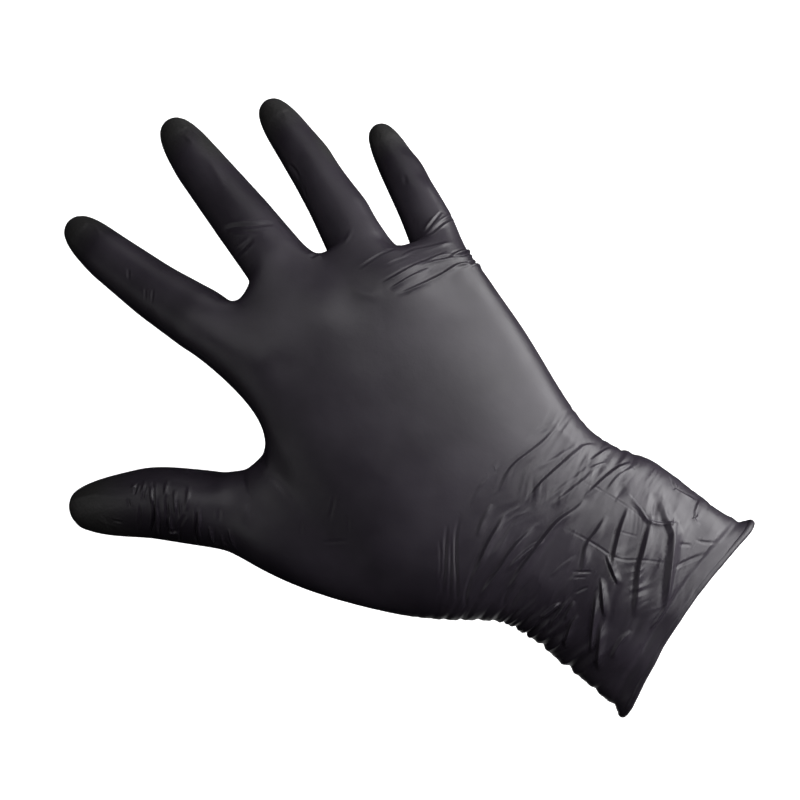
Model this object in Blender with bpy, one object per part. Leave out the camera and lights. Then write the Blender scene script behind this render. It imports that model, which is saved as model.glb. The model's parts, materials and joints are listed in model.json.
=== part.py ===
"""A disposable nitrile glove in the shape of a worn right hand, with no hand inside it.

The real glove is one dipped film of rubber whose open end is rolled into a bead. Here that film is cut
into rings where it stays stiff and rings where it folds, so that every place where it bends can carry a
hinge: the wrist, the root and the two knuckles of each finger, and the root and the end of the thumb.

The origin is the centre of the cuff's mouth. +X runs into the glove, towards the fingertips, +Z is the
back of the hand and +Y is the thumb's side. Sizes are in millimetres until an object is made.
"""

import math
from dataclasses import dataclass

import bmesh
import bpy
from mathutils import Matrix, Vector

MILLIMETRE = 0.001

# Driving dimensions of the film, in millimetres.
FILM = 0.15  # thickness of the dipped film
GAP = 0.3  # between neighbouring rings of film
BEAD_RADIUS = 0.9  # of the roll that ends the cuff

# How fine the surface is.
SMOOTHING_LEVELS = 1
CAGE_SWELL = 1.108  # a smoothed ring of eight points shrinks to 1 / CAGE_SWELL of its size
COLUMNS = 9  # points across the back, and across the palm, of each row of the hand
BEAD_SIDES = 2  # bevel resolution of the bead


@dataclass
class Row:
    """A closed row of points across the cuff or the hand, and how far it bows towards the fingers."""

    little: tuple  # X and Y of its point on the little finger's side
    thumb: tuple  # X and Y of its point on the thumb's side
    middle: float  # height of both
    back: float  # how far the back of the hand stands above them
    palm: float  # how far the palm hangs below them
    square: float  # 2 is an ellipse, and more is squarer
    bow: float
    to_fingers: float = 0  # 1 puts its columns in line with the fingers
    ahead: float = 0  # how far the back runs on past the palm


# From the mouth to the webs between the fingers.
ROWS = [
    Row((1.2, -37.6), (0.6, 37.4), middle=0, back=14, palm=15, square=1.8, bow=6),
    Row((12.5, -33.3), (11.5, 34.5), middle=0, back=17, palm=18, square=2, bow=4.5),
    Row((27, -36.6), (25.5, 34.7), middle=0, back=18, palm=19, square=2.1, bow=2.5),
    Row((44.5, -34), (41.5, 32), middle=0, back=18, palm=18, square=2.2, bow=0.5),
    Row((53.5, -32), (50, 34.2), middle=0, back=17.5, palm=17.5, square=2.2, bow=0),
    Row((63, -31.8), (59, 40.2), middle=0.5, back=17, palm=18, square=2.2, bow=0),
    Row((79, -39.2), (74, 51.2), middle=1.5, back=16, palm=19, square=2.3, bow=1),
    Row((95.5, -47.2), (104, 48), middle=3, back=15, palm=19, square=2.5, bow=3, to_fingers=0.2),
    Row((108.5, -51.3), (138.5, 28.4), middle=4, back=14.5, palm=16, square=2.6, bow=6, to_fingers=0.5),
    Row((116, -54.7), (158, 21.4), middle=5, back=14, palm=14, square=2.6, bow=11, to_fingers=0.8, ahead=2),
    Row((123, -56.4), (178, 20), middle=3, back=10.5, palm=10.5, square=3, bow=16.5, to_fingers=1, ahead=4),
]
CUFF_SPANS = 3  # spans between rows, from the mouth
WRIST_SPANS = 2
WRIST_ROW = CUFF_SPANS + WRIST_SPANS // 2
THUMB_ROW = 6  # the thumb leaves the hand between this row and the next but one
# Columns of the front row, as shares of its length: the first, third and so on part the fingers.
FINGER_COLUMNS = [0.03, 0.11, 0.22, 0.35, 0.477, 0.64, 0.798, 0.9, 0.97]
WEB_SHARE = 0.62  # height of the film between two fingers, as a share of a finger's
WEB_DROP = 0.8  # of a web below the middle of the film's edge
WEB_SETBACK = 1.2  # of a web behind that edge


@dataclass
class Stall:
    """The film round one finger: a centre line, its root, its knuckles and its tip, and half sizes along it.

    A half size is given at each joint of the line and at the pad of the fingertip.
    """

    line: list
    width: list
    depth: list
    hinges: tuple = ("root", "knuckle", "end")
    tubes: tuple = ("proximal", "middle", "tip")
    roll: float = 0  # how far the nail turns away from the other fingers
    base: tuple = ()  # a first ring across the hand's film: its outer side, its web side and its half depth


STALLS = {
    "little": Stall(
        line=[(131.7, -51.5, 1.5), (145.3, -60.4, -5.8), (158.8, -68.2, -14), (175.6, -77.6, -25.5)],
        width=[8.2, 7.5, 6.8, 5.8],
        depth=[8.2, 7.2, 6.5, 5.2],
    ),
    "ring": Stall(
        line=[(152.5, -37.4, 3), (170.5, -46.6, -6), (190.5, -55.4, -17), (211.9, -63.8, -30.6)],
        width=[9.9, 8.6, 7.5, 6.8],
        depth=[9.4, 8.5, 7.4, 6],
    ),
    "middle": Stall(
        line=[(168.4, -18.1, 3.5), (190.5, -25, -7), (214.9, -32.3, -19), (235.8, -39.5, -33.3)],
        width=[10.7, 9.9, 8.5, 7.4],
        depth=[9.8, 9, 7.9, 6.4],
    ),
    "index": Stall(
        line=[(177.9, 9, 3), (200, 10.1, -7), (222, 9.7, -17), (243.1, 8.1, -30.3)],
        width=[10.9, 9.6, 8.4, 7.4],
        depth=[9.8, 8.9, 7.8, 6.4],
    ),
    "thumb": Stall(
        line=[(113, 45, -7), (140.4, 55.4, -13), (164.1, 69.1, -20), (188, 90, -29)],
        width=[17, 14, 13.5, 11.3],
        depth=[15, 12.3, 10.6, 8.6],
        hinges=("root", "end"),
        tubes=("proximal", "tip"),
        roll=math.radians(40),
        base=((104.5, 60.5, -9), (143, 36, -3), 15),
    ),
}
ROOT_START = 1.8  # how far past the webs a finger's film begins to fold
# Half the length of film that folds at a hinge, as a share of the finger's half depth there.
FOLD_SHARE = {"root": 0.5, "knuckle": 0.62, "end": 0.56}
HINGE_DROP = 0.3  # of a hinge below the centre line, as a share of that half depth
PAD_AT = 0.52  # share of the last bone where the fingertip's pad lies
DOME_AT = 0.86  # share of it where the last ring lies
DOME_SHARE = 0.7  # that ring's size, as a share of the pad's


def clear_scene():
    for obj in list(bpy.data.objects):
        bpy.data.objects.remove(obj, do_unlink=True)


def rubber(name, colour, roughness):
    material = bpy.data.materials.new(name)
    material.use_nodes = True
    shader = material.node_tree.nodes["Principled BSDF"]
    shader.inputs["Base Color"].default_value = (*colour, 1)
    shader.inputs["Roughness"].default_value = roughness
    shader.inputs["Metallic"].default_value = 0
    return material


def even_columns(square):
    """Shares of a row's length for its columns, spread evenly round a superellipse."""
    step = math.pi / (COLUMNS + 1)
    turns = [math.cos(math.pi - (i + 1) * step) for i in range(COLUMNS)]
    return [(1 + math.copysign(abs(turn) ** (2 / square), turn)) / 2 for turn in turns]


def row_points(row):
    """A row's points in order: the thumb's side, the back, the little finger's side and the palm."""
    little = Vector((*row.little, row.middle))
    thumb = Vector((*row.thumb, row.middle))
    onward = (thumb - little).cross(Vector((0, 0, 1))).normalized()
    back, palm = [], []
    for i, (even, finger) in enumerate(zip(even_columns(row.square), FINGER_COLUMNS)):
        share = even + (finger - even) * row.to_fingers
        height = (1 - abs(2 * share - 1) ** row.square) ** (1 / row.square)
        if row is ROWS[-1]:
            height = WEB_SHARE if i % 2 == 0 else 1
        place = little.lerp(thumb, share) + onward * (4 * share * (1 - share) * row.bow)
        back.append(place + Vector((0, 0, row.back * height)))
        palm.append(place - onward * row.ahead - Vector((0, 0, row.palm * height)))
    return [thumb, *reversed(back), little, *palm]


def ring_points(centre, side, nailward):
    """Eight points round a finger, from its back near the thumb, over to the other side and under."""
    turns = [math.radians(45 * (k + 1)) for k in range(8)]
    steps = [side * math.cos(turn) + nailward * math.sin(turn) for turn in turns]
    return [centre + step * CAGE_SWELL for step in steps]


class CentreLine:
    """Distances along a finger's centre line, and the ring of film at each."""

    def __init__(self, stall):
        self.stall = stall
        self.points = [Vector(point) for point in stall.line]
        self.bones = [(b - a).length for a, b in zip(self.points, self.points[1:])]
        self.pad = sum(self.bones[:-1]) + self.bones[-1] * PAD_AT

    def joint(self, index):
        return sum(self.bones[:index])

    def size(self, values, distance):
        """A half size at a distance, read between the joints and the pad."""
        marks = [self.joint(i) for i in range(len(self.bones))] + [self.pad]
        last = len(marks) - 2
        i = next((i for i in range(last) if distance < marks[i + 1]), last)
        share = (distance - marks[i]) / (marks[i + 1] - marks[i])
        return values[i] + (values[i + 1] - values[i]) * min(share, 1)

    def depth(self, distance):
        return self.size(self.stall.depth, distance)

    def frame(self, distance):
        """The centre, and the finger's forward, sideways and nailward directions."""
        last = len(self.bones) - 1
        bone = next((i for i in range(last) if distance < self.joint(i + 1)), last)
        forward = (self.points[bone + 1] - self.points[bone]).normalized()
        centre = self.points[bone] + forward * (distance - self.joint(bone))
        if bone and math.isclose(distance, self.joint(bone)):
            before = (self.points[bone] - self.points[bone - 1]).normalized()
            forward = (forward + before).normalized()
        level = Vector((0, 0, 1)).cross(forward).normalized()
        upright = forward.cross(level)
        roll = self.stall.roll
        side = level * math.cos(roll) - upright * math.sin(roll)
        nailward = upright * math.cos(roll) + level * math.sin(roll)
        return centre, side, nailward

    def ring(self, distance, scale=1):
        centre, side, nailward = self.frame(distance)
        half_width = self.size(self.stall.width, distance) * scale
        return ring_points(centre, side * half_width, nailward * self.depth(distance) * scale)

    def base_ring(self):
        outer, web, depth = self.stall.base
        outer, web = Vector(outer), Vector(web)
        _, _, nailward = self.frame(0)
        return ring_points((outer + web) / 2, (outer - web) / 2, nailward * depth)

    def hinge_distance(self, hinge):
        """Where a hinge lies: at a joint of the line, or for a finger's root just past the web."""
        from_end = len(self.stall.hinges) - self.stall.hinges.index(hinge)
        joint = len(self.bones) - from_end
        if joint == 0:
            return ROOT_START + FOLD_SHARE[hinge] * self.depth(ROOT_START)
        return self.joint(joint)

    def hinge(self, hinge):
        """The point and the direction of a hinge's axis: a positive turn curls the finger."""
        distance = self.hinge_distance(hinge)
        centre, side, nailward = self.frame(distance)
        return centre - nailward * (self.depth(distance) * HINGE_DROP), side

    def rings(self):
        """Each ring of points with the name of the film that leads up to it."""
        found = [(self.base_ring(), "hand")] if self.stall.base else []
        before = "hand"
        for hinge, tube in zip(self.stall.hinges, self.stall.tubes):
            centre = self.hinge_distance(hinge)
            reach = FOLD_SHARE[hinge] * self.depth(centre)
            found.append((self.ring(centre - reach), before))
            found.append((self.ring(centre), f"{hinge}_fold"))
            found.append((self.ring(centre + reach), f"{hinge}_fold"))
            before = tube
        dome = sum(self.bones[:-1]) + self.bones[-1] * DOME_AT
        found.append((self.ring(self.pad), before))
        found.append((self.ring(dome, DOME_SHARE), before))
        return found


def wrist_hinge():
    """The point and the direction of the wrist's axis: a positive turn drops the hand."""
    row = ROWS[WRIST_ROW]
    little, thumb = Vector((*row.little, row.middle)), Vector((*row.thumb, row.middle))
    return (little + thumb) / 2, (thumb - little).normalized()


def hinges():
    """Every hinge by name, as a point in millimetres and a direction."""
    found = {"wrist": wrist_hinge()}
    for name, stall in STALLS.items():
        line = CentreLine(stall)
        for hinge in stall.hinges:
            found[f"{name}_{hinge}"] = line.hinge(hinge)
    return found


def hinge_of(region):
    """The hinge that a ring of film turns about, or None on the part that stays still."""
    if region in ("hand", "wrist_fold"):
        return "wrist"
    finger, _, span = region.partition("_")
    if finger not in STALLS:
        return None
    if span.endswith("_fold"):
        return region.removesuffix("_fold")
    stall = STALLS[finger]
    return f"{finger}_{stall.hinges[stall.tubes.index(span)]}"


class Cage:
    """The coarse mesh of the whole glove. A face's material index says which ring of film it belongs to."""

    def __init__(self):
        self.mesh = bmesh.new()
        self.regions = []

    def vertices(self, points):
        return [self.mesh.verts.new(point) for point in points]

    def face(self, corners, region):
        if region not in self.regions:
            self.regions.append(region)
        self.mesh.faces.new(corners).material_index = self.regions.index(region)

    def bridge(self, loop, following, region, skip=()):
        for k, corner in enumerate(loop):
            if k not in skip:
                n = (k + 1) % len(loop)
                self.face((corner, loop[n], following[n], following[k]), region)

    def grow_stall(self, name, loop):
        """Runs a finger's film out from a loop of eight points and closes its tip."""
        line = CentreLine(STALLS[name])
        for points, span in line.rings():
            region = span if span == "hand" else f"{name}_{span}"
            following = self.vertices(points)
            self.bridge(loop, following, region)
            loop = following
        (apex,) = self.vertices([line.points[-1]])
        for k in range(0, 8, 2):
            self.face((loop[k], loop[k + 1], loop[(k + 2) % 8], apex), region)


def add_webs(cage, back, palm):
    """The points between neighbouring fingers, midway between the back and the palm."""
    points = [(back[i].co + palm[i].co) / 2 for i in range(2, COLUMNS - 2, 2)]
    return cage.vertices([point - Vector((WEB_SETBACK, 0, WEB_DROP)) for point in points])


def build_cage():
    cage = Cage()
    rows = [cage.vertices(row_points(row)) for row in ROWS]
    # The first and the last face of a span meet on the thumb's side, where the thumb leaves the hand.
    thumb_faces = (0, len(rows[0]) - 1)
    for i, (row, following) in enumerate(zip(rows, rows[1:])):
        past_cuff = i >= CUFF_SPANS
        past_wrist = i >= CUFF_SPANS + WRIST_SPANS
        region = "hand" if past_wrist else "wrist_fold" if past_cuff else "cuff"
        has_thumb = THUMB_ROW <= i < THUMB_ROW + 2
        cage.bridge(row, following, region, skip=thumb_faces if has_thumb else ())

    near, middle, far = rows[THUMB_ROW : THUMB_ROW + 3]
    cage.mesh.verts.remove(middle[0])
    cage.grow_stall("thumb", [near[1], middle[1], far[1], far[0], far[-1], middle[-1], near[-1], near[0]])

    thumb_side, *back, little_side = rows[-1][: COLUMNS + 2]
    back.reverse()
    palm = rows[-1][COLUMNS + 2 :]
    parting = [little_side, *add_webs(cage, back, palm), thumb_side]
    for i, name in enumerate(["little", "ring", "middle", "index"]):
        over = back[2 * i : 2 * i + 3]
        under = palm[2 * i : 2 * i + 3]
        cage.grow_stall(name, [*reversed(over), parting[i], *under, parting[i + 1]])
    bmesh.ops.recalc_face_normals(cage.mesh, faces=cage.mesh.faces)
    return cage


def smooth_film(cage, levels=SMOOTHING_LEVELS):
    """The whole film as one smooth surface, still open at the mouth."""
    mesh = bpy.data.meshes.new("glove_film")
    cage.mesh.to_mesh(mesh)
    for _ in cage.regions:
        mesh.materials.append(None)
    film = bpy.data.objects.new("glove_film", mesh)
    bpy.context.scene.collection.objects.link(film)
    subdivision = film.modifiers.new("smooth", "SUBSURF")
    subdivision.levels = subdivision.render_levels = levels
    graph = bpy.context.evaluated_depsgraph_get()
    smooth = bpy.data.meshes.new_from_object(film.evaluated_get(graph))
    bpy.data.objects.remove(film)
    return smooth


def draw_in_edges(ring):
    """Moves the open edges of a ring of film into the ring by half the gap."""
    moves = {}
    for vertex in ring.verts:
        if not vertex.is_boundary:
            continue
        faces = vertex.link_faces
        middle = sum((face.calc_center_median() for face in faces), Vector()) / len(faces)
        rims = [edge.other_vert(vertex).co for edge in vertex.link_edges if edge.is_boundary]
        along = (rims[0] - rims[1]).normalized()
        inward = middle - vertex.co
        inward -= along * inward.dot(along)
        moves[vertex] = inward.normalized() * (GAP / 2)
    for vertex, move in moves.items():
        vertex.co += move


def place_object(obj, material, origin):
    """Links an object and puts its origin on its hinge."""
    bpy.context.scene.collection.objects.link(obj)
    obj.data.materials.append(material)
    obj.location = origin * MILLIMETRE


def make_film_ring(name, smooth, index, material, origin):
    """One named ring of film, cut from the smooth surface and given its thickness."""
    ring = bmesh.new()
    ring.from_mesh(smooth)
    others = [face for face in ring.faces if face.material_index != index]
    bmesh.ops.delete(ring, geom=others, context="FACES")
    for face in ring.faces:
        face.material_index = 0
        face.smooth = True
    draw_in_edges(ring)
    ring.transform(Matrix.Scale(MILLIMETRE, 4) @ Matrix.Translation(-origin))
    mesh = bpy.data.meshes.new(name)
    ring.to_mesh(mesh)
    ring.free()
    obj = bpy.data.objects.new(name, mesh)
    place_object(obj, material, origin)
    film = obj.modifiers.new("film", "SOLIDIFY")
    film.thickness = FILM * MILLIMETRE
    film.offset = -1
    film.use_even_offset = True


def mouth_points(smooth):
    """The points round the open end of the smooth film, in order."""
    shape = bmesh.new()
    shape.from_mesh(smooth)
    edge = next(edge for edge in shape.edges if edge.is_boundary)
    first, vertex = edge.verts
    points = [first.co.copy()]
    while vertex is not first:
        points.append(vertex.co.copy())
        edge = next(e for e in vertex.link_edges if e.is_boundary and e is not edge)
        vertex = edge.other_vert(vertex)
    shape.free()
    return points


def make_rolled_bead(smooth, material):
    """The open end of the film, rolled up on itself into a thin ring."""
    curve = bpy.data.curves.new("rolled_bead", "CURVE")
    curve.dimensions = "3D"
    curve.bevel_depth = BEAD_RADIUS * MILLIMETRE
    curve.bevel_resolution = BEAD_SIDES
    points = mouth_points(smooth)
    spline = curve.splines.new("POLY")
    spline.points.add(len(points) - 1)
    spline.use_cyclic_u = True
    for knot, point in zip(spline.points, points):
        behind_film = point - Vector((BEAD_RADIUS + GAP / 2, 0, 0))
        knot.co = (*(behind_film * MILLIMETRE), 1)
    place_object(bpy.data.objects.new("rolled_bead", curve), material, Vector())


def main():
    clear_scene()
    film_rubber = rubber("black_nitrile_film", (0.026, 0.024, 0.027), 0.42)
    bead_rubber = rubber("black_nitrile_bead", (0.022, 0.02, 0.023), 0.36)
    cage = build_cage()
    smooth = smooth_film(cage)
    hinge_points = {name: point for name, (point, _) in hinges().items()}
    for index, region in enumerate(cage.regions):
        origin = hinge_points.get(hinge_of(region), Vector())
        make_film_ring(region, smooth, index, film_rubber, origin)
    make_rolled_bead(smooth, bead_rubber)
    bpy.data.meshes.remove(smooth)
    cage.mesh.free()


main()
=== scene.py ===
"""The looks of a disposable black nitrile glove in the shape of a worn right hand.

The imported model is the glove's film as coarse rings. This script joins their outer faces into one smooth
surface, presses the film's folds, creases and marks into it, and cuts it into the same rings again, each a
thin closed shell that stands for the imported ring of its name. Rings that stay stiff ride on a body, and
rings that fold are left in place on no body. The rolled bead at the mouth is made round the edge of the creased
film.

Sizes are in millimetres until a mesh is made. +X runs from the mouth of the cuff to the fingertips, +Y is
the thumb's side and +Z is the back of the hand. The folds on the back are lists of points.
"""

import json
import math
import random
from dataclasses import dataclass

import bmesh
import bpy
import numpy as np
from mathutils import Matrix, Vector, kdtree, noise
from mathutils.bvhtree import BVHTree


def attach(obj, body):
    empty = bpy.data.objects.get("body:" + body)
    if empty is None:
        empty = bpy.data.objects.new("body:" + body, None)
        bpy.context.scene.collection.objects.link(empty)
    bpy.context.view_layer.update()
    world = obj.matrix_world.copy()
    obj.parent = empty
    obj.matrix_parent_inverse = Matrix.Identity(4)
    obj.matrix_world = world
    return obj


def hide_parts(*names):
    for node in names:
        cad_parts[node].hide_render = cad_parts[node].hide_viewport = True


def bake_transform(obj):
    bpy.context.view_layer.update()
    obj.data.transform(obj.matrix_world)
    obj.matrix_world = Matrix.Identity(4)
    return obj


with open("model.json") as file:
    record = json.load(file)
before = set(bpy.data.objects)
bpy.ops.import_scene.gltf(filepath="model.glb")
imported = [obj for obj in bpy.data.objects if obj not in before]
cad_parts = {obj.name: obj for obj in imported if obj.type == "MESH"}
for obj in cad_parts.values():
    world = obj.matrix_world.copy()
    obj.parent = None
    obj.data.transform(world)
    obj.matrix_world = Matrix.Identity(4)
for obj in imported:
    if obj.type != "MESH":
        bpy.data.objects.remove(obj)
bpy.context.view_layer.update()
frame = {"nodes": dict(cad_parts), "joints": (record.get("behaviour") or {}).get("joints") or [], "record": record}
bodies = frame["record"]["behaviour"]["bodies"]

MM = 0.001

# The film.
FILM = 0.15  # its thickness
RIM_EDGE = 0.5  # a packed ring's only edges shorter than this run through its thickness
RING_GAP = 0.5  # more than the gap between two packed rings
SMOOTHING_LEVELS = 2
HALVINGS = 3
LOOSE_END = 76  # X past which the film isn't loose
LOOSE_EDGE = 0.85  # the longest edge where it is
CREASED_EDGE = 0.4  # and along a crease
UNCREASED_EDGE = 9.0  # and elsewhere, where no edge is as long

# Where the film gives: the web of the thumb and the mouth.
THUMB_WEB = (140.0, 38.0, -8.0)
WEB_REACH = 15
WEB_ROUNDS = 4  # of smoothing
MOUTH_BOW = 1.4
MOUTH_HALF_WIDTH = 32
BOW_REACH = 22

# The film beside the bead dips and then flares, by a height, at a distance from the mouth, over a width.
FLARE_HEIGHT, FLARE_WIDTH = 0.5, 2
DIP_HEIGHT, DIP_AT, DIP_WIDTH = 0.8, 4, 1.4
FLARE_END = 26  # X past which the mouth is out of reach

# The slack film: X where waves and pleats end, and the length over which they grow from there.
WAVES_END, WAVES_GROW = 62, 40
PLEATS_END, PLEATS_GROW = 86, 22
WAVE_HEIGHT = 1.0
PLEAT_HEIGHT = 0.4
FINE_HEIGHT = 0.17

# The nails, along the finger's last bone from 0 to 1 and across it.
NAIL_START, NAIL_END = 0.47, 0.93
NAIL_HALF_WIDTH = 4.6
THUMBNAIL_HALF_WIDTH = 6.6
NAIL_RISE = 0.22

# The rolled bead.
BEAD_RADIUS = 1.2
BEAD_SIDES = 14
BEAD_DROP = 0.9  # of its middle inside the film
BEAD_WANDER = 0.1  # of its radius, as a share of it
BEAD_FLUTES = 0.05

# A fold's line: the distance between its points, and the share of it over which each end fades.
LINE_STEP = 1.0
FADE_SHARE = 0.4
PLEAT_FADE_SHARE = 0.36
# The shape of a fold across its line, in widths of the fold.
FOLD_REACH = 3.4
VALLEY_EDGE = 1.9
BANK_AT, BANK_WIDTH = 1.9, 0.8
# A pleat has one bank: a crest with a steep wall on one side and a long slope on the other.
CREST_AT = 0.8
WALL_WIDTH = 1.8
GUTTER_SHARE, GUTTER_AT, GUTTER_WIDTH = 0.4, 1.5, 0.7  # of the valley at the foot of the wall
DOWNHILL = (-0.86, 0.5, 0.0)  # the side to which the long slope goes

# Where rays towards the film start, and the height of its outline.
ABOVE = 90
OUTLINE_HEIGHT = -3
NAILWARD_START = 2  # of rays from inside a finger

# The studio, in metres and degrees.
MIDDLE = (0.11, 0.0, 0.0)
WRIST_SPOT = (0.085, -0.035, 0.0)
CUFF_SPOT = (0.022, -0.005, 0.0)
FLOOR_REACH = 6
FLOOR_HEIGHT = -0.34
CAMERA_PLACE = (0.1156, -0.0057, 0.423)
CAMERA_TURN = 214.5


# ---------------------------------------------------------------- the film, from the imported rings


def outer_face(obj):
    """The triangles on the outside of a ring of film: the side that faces away from its middle."""
    ring = bmesh.new()
    ring.from_mesh(obj.data)
    bmesh.ops.remove_doubles(ring, verts=ring.verts, dist=1e-6)
    rims = [f for f in ring.faces if min(e.calc_length() for e in f.edges) < RIM_EDGE * MM]
    bmesh.ops.delete(ring, geom=rims, context="FACES")
    ring.faces.index_update()
    sides = []
    left = set(ring.faces)
    while left:
        reached = [left.pop()]
        for face in reached:
            for edge in face.edges:
                found = left.intersection(edge.link_faces)
                left -= found
                reached.extend(found)
        sides.append(reached)

    def outwardness(side):
        centres = [face.calc_center_median() for face in side]
        middle = sum(centres, Vector()) / len(side)
        return sum((c - middle).dot(f.normal) * f.calc_area() for c, f in zip(centres, side))

    outside = sorted(max(sides, key=outwardness), key=lambda face: face.index)
    triangles = [[vertex.co / MM for vertex in face.verts] for face in outside]
    ring.free()
    return triangles


def squareness(corners):
    """How far a four-sided face is from a rectangle: 0 is one."""
    worst = 0
    for k in range(4):
        before, corner, after = corners[k - 1], corners[k], corners[(k + 1) % 4]
        worst = max(worst, abs((before - corner).angle(after - corner) - math.pi / 2))
    sides = [(corners[k] - corners[(k + 1) % 4]).length for k in range(4)]
    return worst + (abs(math.log(sides[0] / sides[2])) + abs(math.log(sides[1] / sides[3]))) / 2


class TwoColours:
    """Points in two colours, where pairs are asked to be unlike."""

    def __init__(self, count):
        self.leader = list(range(count))
        self.unlike_leader = [False] * count

    def find(self, point):
        unlike = False
        while self.leader[point] != point:
            unlike ^= self.unlike_leader[point]
            point = self.leader[point]
        return point, unlike

    def part(self, pairs):
        """Makes each pair unlike, or changes nothing if one of them is known to be alike."""
        joined = []
        for one, other in pairs:
            leader, unlike = self.find(one)
            other_leader, other_unlike = self.find(other)
            if leader != other_leader:
                self.leader[leader] = other_leader
                self.unlike_leader[leader] = not unlike ^ other_unlike
                joined.append(leader)
            elif unlike == other_unlike:
                for leader in joined:
                    self.leader[leader] = leader
                    self.unlike_leader[leader] = False
                return False
        return True


def pair_triangles(film):
    """Joins the film's triangles into the four-sided faces that they halve.

    The corners of such faces take two colours: a side joins unlike ones and a diagonal joins like ones. The
    edges of the rings are sides, and after them the faces nearest to rectangles settle the colours.
    """
    for parts in (film.verts, film.edges, film.faces):
        parts.index_update()
    colours = TwoColours(len(film.verts))
    found = []
    for edge in film.edges:
        one, other = edge.verts
        faces = edge.link_faces
        if len(faces) < 2 or faces[0].material_index != faces[1].material_index:
            colours.part([(one.index, other.index)])
            continue
        near, far = (next(v for v in face.verts if v not in edge.verts) for face in faces)
        corners = [one, near, other, far]
        numbers = [corner.index for corner in corners]
        found.append((squareness([corner.co for corner in corners]), numbers, faces))
    paired = set()
    for _, numbers, faces in sorted(found, key=lambda item: item[:2]):
        if paired.isdisjoint(faces) and colours.part(zip(numbers, numbers[1:] + numbers[:1])):
            paired.update(faces)
    alike = [e for e in film.edges if colours.find(e.verts[0].index) == colours.find(e.verts[1].index)]
    bmesh.ops.dissolve_edges(film, edges=alike, use_verts=False)


def join_rings(nodes):
    """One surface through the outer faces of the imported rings. A face's material index is its ring's."""
    film = bmesh.new()
    for index, name in enumerate(nodes):
        for corners in outer_face(frame["nodes"][name]):
            film.faces.new([film.verts.new(corner) for corner in corners]).material_index = index
    bmesh.ops.remove_doubles(film, verts=film.verts, dist=1e-3)
    edges = [vertex for vertex in film.verts if vertex.is_boundary]
    bmesh.ops.remove_doubles(film, verts=edges, dist=RING_GAP)
    pair_triangles(film)
    relax(film)
    return film


def relax(film):
    """Rounds the web of the thumb and bows the mouth of the cuff forward."""
    web = [vertex for vertex in film.verts if (vertex.co - Vector(THUMB_WEB)).length < WEB_REACH]
    axes = {"use_axis_x": True, "use_axis_y": True, "use_axis_z": True}
    for _ in range(WEB_ROUNDS):
        bmesh.ops.smooth_vert(film, verts=web, factor=0.5, **axes)
    for vertex in film.verts:
        x, y, _ = vertex.co
        if x < BOW_REACH:
            vertex.co.x += MOUTH_BOW * max(0, 1 - (y / MOUTH_HALF_WIDTH) ** 2) * (1 - x / BOW_REACH) ** 2


def smooth_surface(film, count):
    """The film through Catmull-Clark subdivision."""
    mesh = bpy.data.meshes.new("smooth_film")
    film.to_mesh(mesh)
    for _ in range(count):
        mesh.materials.append(None)  # so that each face keeps its ring's number
    obj = bpy.data.objects.new("smooth_film", mesh)
    bpy.context.scene.collection.objects.link(obj)
    subdivision = obj.modifiers.new("smooth", "SUBSURF")
    subdivision.levels = subdivision.render_levels = SMOOTHING_LEVELS
    graph = bpy.context.evaluated_depsgraph_get()
    smooth = bmesh.new()
    smooth.from_mesh(bpy.data.meshes.new_from_object(obj.evaluated_get(graph)))
    bpy.data.objects.remove(obj)
    return smooth


def halve_long_edges(smooth, longest):
    """Halves the edges that are longer than the film allows at their ends.

    Each new point goes halfway to the planes that touch the film at the corners round it. Subdividing hands
    it the mean of what those corners store: their planes.
    """
    names = [f"plane_{k}" for k in range(4)]
    for name in names:
        smooth.verts.layers.float_vector.new(name)
    layers = [smooth.verts.layers.float_vector[name] for name in names]
    for vertex in smooth.verts:
        normal = vertex.normal
        for k in range(3):
            vertex[layers[k]] = normal * normal[k]
        vertex[layers[3]] = normal * vertex.co.dot(normal)
    longs = [e for e in smooth.edges if e.calc_length() > min(longest[v.index] for v in e.verts)]
    count = len(smooth.verts)
    bmesh.ops.subdivide_edges(smooth, edges=longs, cuts=1, use_grid_fill=True, use_single_edge=True)
    smooth.verts.ensure_lookup_table()
    for vertex in smooth.verts[count:]:
        out = Vector([vertex[layer].dot(vertex.co) for layer in layers[:3]]) - vertex[layers[3]]
        vertex.co -= out / 2
    for name in names:
        smooth.verts.layers.float_vector.remove(smooth.verts.layers.float_vector[name])


class Surface:
    """The film as arrays: points, normals, triangles and each triangle's ring."""

    def __init__(self, smooth):
        smooth.verts.index_update()
        smooth.normal_update()
        self.points = np.array([vertex.co for vertex in smooth.verts])
        self.normals = np.array([vertex.normal for vertex in smooth.verts])
        loops = smooth.calc_loop_triangles()
        self.triangles = np.array([[loop.vert.index for loop in triangle] for triangle in loops])
        self.rings = np.array([triangle[0].face.material_index for triangle in loops])
        self.tree = BVHTree.FromPolygons(self.points.tolist(), self.triangles.tolist())

    def normals_of(self, points):
        """The normal at each point, when the surface's points have moved to these."""
        corners = points[self.triangles]
        across = np.cross(corners[:, 1] - corners[:, 0], corners[:, 2] - corners[:, 0])
        total = np.zeros_like(points)
        for k in range(3):
            np.add.at(total, self.triangles[:, k], across)
        return total / np.linalg.norm(total, axis=1, keepdims=True)


# ---------------------------------------------------------------- where a crease is drawn


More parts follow.
